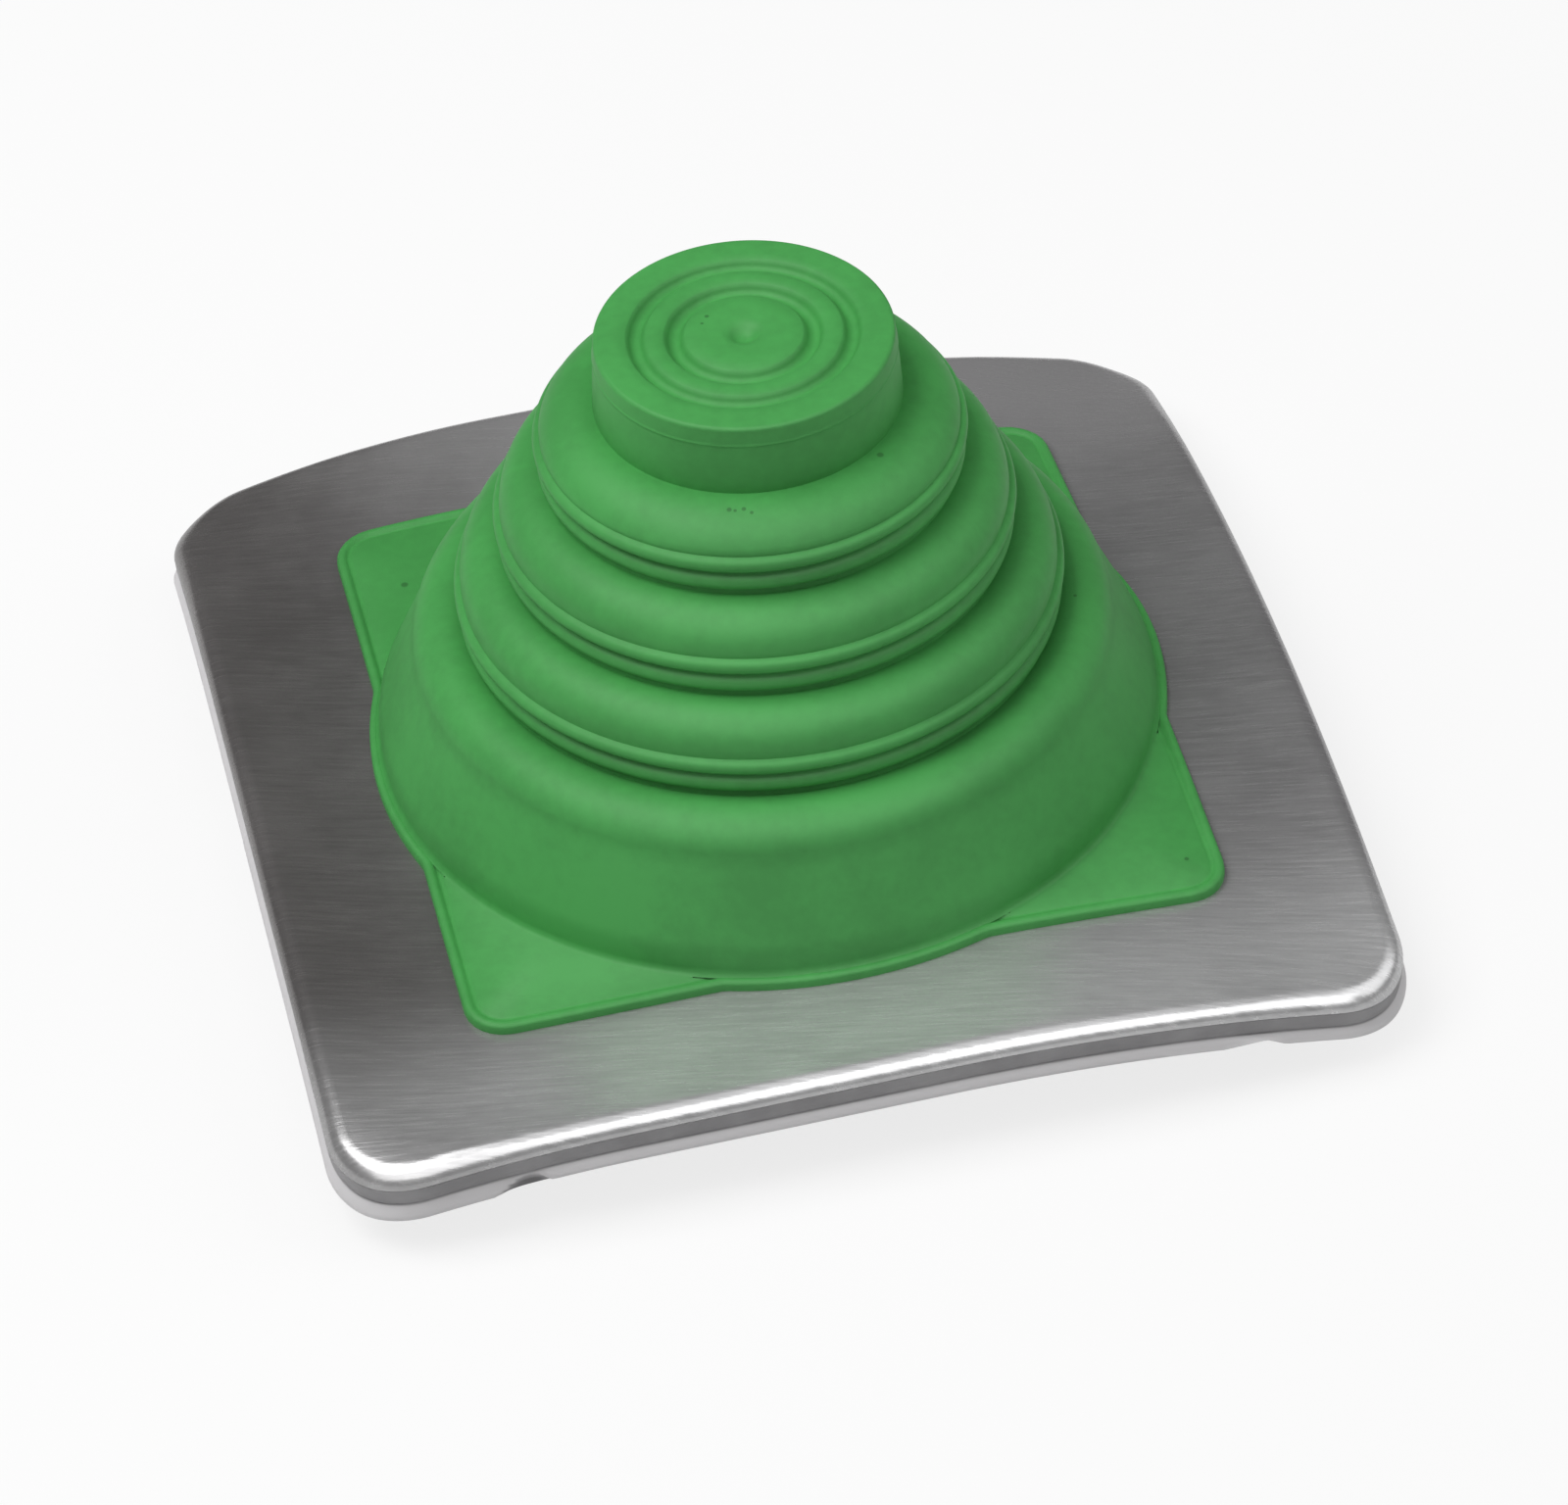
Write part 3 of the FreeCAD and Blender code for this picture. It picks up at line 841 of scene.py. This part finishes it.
class MESH_OT_seal_pad(bpy.types.Operator):
    """Grey rubber seal under the sheet: band, groove, lip and sealing ribs"""

    bl_idname = "mesh.flashing_seal"
    bl_label = "Seal pad"

    def execute(self, context):
        s = context.scene.flashing_seal
        sheet = context.scene.flashing_sheet
        rings = Rings(SEAL_SEGMENTS)
        out = LIP_HALF - PLATE_HALF
        bottom = SHEET_TOP - SEAL_DEPTH
        cut = SHEET_TOP - sheet.depth

        def edge(inset):
            return lambda angle: sheet_radius(angle, inset, sheet.corner)

        def lip(inset, share):
            return lambda angle: sheet_radius(
                angle, inset + SCOOP_DEPTH * scoop(angle, share), sheet.corner
            )

        for step in range(SHEET_STEPS + 1):
            rings.outline(from_hole(edge(sheet.roll), step / SHEET_STEPS), SHEET_TOP - sheet.thickness)
        for inset, drop in SEAL_TOP_EDGE:
            rings.outline(edge(inset), cut - drop)
        for inset, rise in ((0.35 * MM, 0.4 * MM), (s.valley * 0.9, 0.0), (s.valley, -0.3 * MM)):
            rings.outline(edge(inset), cut - s.band + rise)
        lip_top = cut - s.band - 0.4 * MM
        # The lip carries the painted highlight, less the painted shade in the scoop.
        for inset, stand, share in LIP_RINGS:
            rings.outline(
                lip(inset - stand * out, share), lip_top + (bottom - lip_top) * share,
                sag=lambda angle: lip_sag(angle) * share,
                tone=lambda angle: 1.0 - SCOOP_SHADE * scoop(angle, share),
            )
        # The lip's bottom carries the underside's painted shade.
        rings.outline(lip(0.35 * MM - out, 1.0), bottom, sag=lip_sag, tone=lambda angle: UNDERSIDE_SHADE_TONE)
        ribs = (
            (s.rib - 0.2 * MM, RIB_RISE), (s.rib, s.channel_depth), (s.rib + s.channel, s.channel_depth),
            (s.rib + s.channel + 0.2 * MM, RIB_RISE),
        )
        for inset, rise in ribs:
            rings.outline(edge(inset), bottom + rise)
        for inset, rise in ribs[::-1]:
            rings.outline(circle_of(HOLE_RADIUS + inset), bottom + rise)
        rings.outline(circle_of(HOLE_RADIUS), bottom + RIB_RISE)
        rings.join()
        piece = rings.finish("seal_pad", SEAL_SHARP)
        seat(piece, seal_material(s), "base_seal")
        return {"FINISHED"}


def put(thing, target, azimuth, elevation, distance, roll=0.0):
    """Puts a camera or lamp at a distance from its target; angles in degrees."""
    run, rise = math.radians(azimuth), math.radians(elevation)
    away = Vector((
        math.sin(run) * math.cos(rise), math.cos(run) * math.cos(rise), -math.sin(rise)
    ))
    turn = away.to_track_quat("-Z", "Y").to_matrix().to_4x4()
    spin = Matrix.Rotation(math.radians(roll), 4, "Z")
    thing.matrix_world = Matrix.Translation(target - away * distance) @ turn @ spin


def lamp(name, width, height, radiance, azimuth, elevation, distance):
    """Soft lamp that looks at the boot, as bright as its radiance says."""
    data = bpy.data.lights.new(name, "AREA")
    data.shape = "RECTANGLE"
    data.size = width
    data.size_y = height
    data.energy = radiance * width * height * math.pi
    thing = bpy.data.objects.new(name, data)
    thing.visible_camera = False
    bpy.context.scene.collection.objects.link(thing)
    put(thing, LAMP_TARGET, azimuth, elevation, distance)
    return thing


# What the lamps and the camera look at
LAMP_TARGET = Vector((0.0, 0.0, 50.0)) * MM
CAMERA_TARGET = Vector((2.5, -0.5, 10.459)) * MM

# Lamps: name, width, height, radiance, direction in which they look, elevation and distance
LAMPS = (
    ("front_fill", 3.6, 1.5, 0.10, 10.0, 28.0, 1.6),
    ("left_key", 1.0, 1.0, 6.0, 95.0, 60.0, 1.5),
    ("right_fill", 1.0, 1.2, 1.9, -80.0, 35.0, 1.6),
    ("overhead", 1.2, 1.2, 0.8, 10.0, 85.0, 1.3),
)

# Panel in front that is only seen in reflections
SHEEN = ("front_sheen", 3.6, 1.3, 2.8, 10.0, 50.0, 1.55)


# Backdrop: share of the floor's own glow, its colour, and the strength of the light all round
FLOOR_GLOW = 0.8
FLOOR_COLOUR = (0.8, 0.8, 0.8, 1.0)
WHITE = (1.0, 1.0, 1.0, 1.0)
SKY_LIGHT = 0.12


class SCENE_OT_stage(bpy.types.Operator):
    """Floor, camera and soft studio light"""

    bl_idname = "scene.flashing_stage"
    bl_label = "Stage"

    def execute(self, context):
        s = context.scene.flashing_stage
        self.floor()
        self.sky(context.scene)
        for values in LAMPS:
            lamp(*values)
        lamp(*SHEEN).visible_diffuse = False
        data = bpy.data.cameras.new("camera")
        data.lens = s.lens
        data.clip_end = 20.0
        camera = bpy.data.objects.new("camera", data)
        context.scene.collection.objects.link(camera)
        put(camera, CAMERA_TARGET, s.azimuth, s.elevation, s.distance, s.roll)
        context.scene.camera = camera
        context.scene.view_settings.view_transform = "Standard"
        return {"FINISHED"}

    def floor(self):
        """Pale floor that keeps the shadow."""
        mesh = bmesh.new()
        bmesh.ops.create_grid(mesh, x_segments=1, y_segments=1, size=6.0)
        data = bpy.data.meshes.new("floor")
        mesh.to_mesh(data)
        mesh.free()
        floor = bpy.data.objects.new("floor", data)
        bpy.context.scene.collection.objects.link(floor)
        shader = Shader(bpy.data.materials.new("floor"))
        matt = shader.node("ShaderNodeBsdfDiffuse", {}, {"Color": FLOOR_COLOUR})
        glow = shader.node("ShaderNodeEmission", {}, {"Color": WHITE, "Strength": 1.0})
        data.materials.append(shader.seen_or_lit("ShaderNodeOutputMaterial", matt, glow, FLOOR_GLOW))

    def sky(self, scene):
        """White backdrop for the camera, and a weak light from all round."""
        shader = Shader(bpy.data.worlds.new("studio"))
        light = shader.node("ShaderNodeBackground", {}, {"Color": WHITE, "Strength": SKY_LIGHT})
        white = shader.node("ShaderNodeBackground", {}, {"Color": WHITE, "Strength": 1.0})
        scene.world = shader.seen_or_lit("ShaderNodeOutputWorld", light, white, 1.0)


class VIEW3D_PT_flashing_boot(bpy.types.Panel):
    """Lists the boot's pieces in the sidebar."""

    bl_label = "Flashing boot"
    bl_space_type = "VIEW_3D"
    bl_region_type = "UI"
    bl_category = "Flashing boot"

    def draw(self, context):
        for operator in OPERATORS:
            self.layout.operator(operator.bl_idname)


OPERATORS = (MESH_OT_rubber_boot, MESH_OT_flange_sheet, MESH_OT_seal_pad, SCENE_OT_stage)
SETTINGS = {
    "flashing_boot": BootSettings,
    "flashing_sheet": SheetSettings,
    "flashing_seal": SealSettings,
    "flashing_stage": StageSettings,
}


def register():
    for name, group in SETTINGS.items():
        bpy.utils.register_class(group)
        setattr(bpy.types.Scene, name, PointerProperty(type=group))
    for entry in (*OPERATORS, VIEW3D_PT_flashing_boot):
        bpy.utils.register_class(entry)


def unregister():
    for entry in (VIEW3D_PT_flashing_boot, *reversed(OPERATORS)):
        bpy.utils.unregister_class(entry)
    for name, group in SETTINGS.items():
        delattr(bpy.types.Scene, name)
        bpy.utils.unregister_class(group)


def main():
    register()
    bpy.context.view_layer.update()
    bpy.ops.mesh.flashing_rubber_boot()
    bpy.ops.mesh.flashing_sheet()
    bpy.ops.mesh.flashing_seal()
    bpy.ops.scene.flashing_stage()


if __name__ == "__main__":
    main()
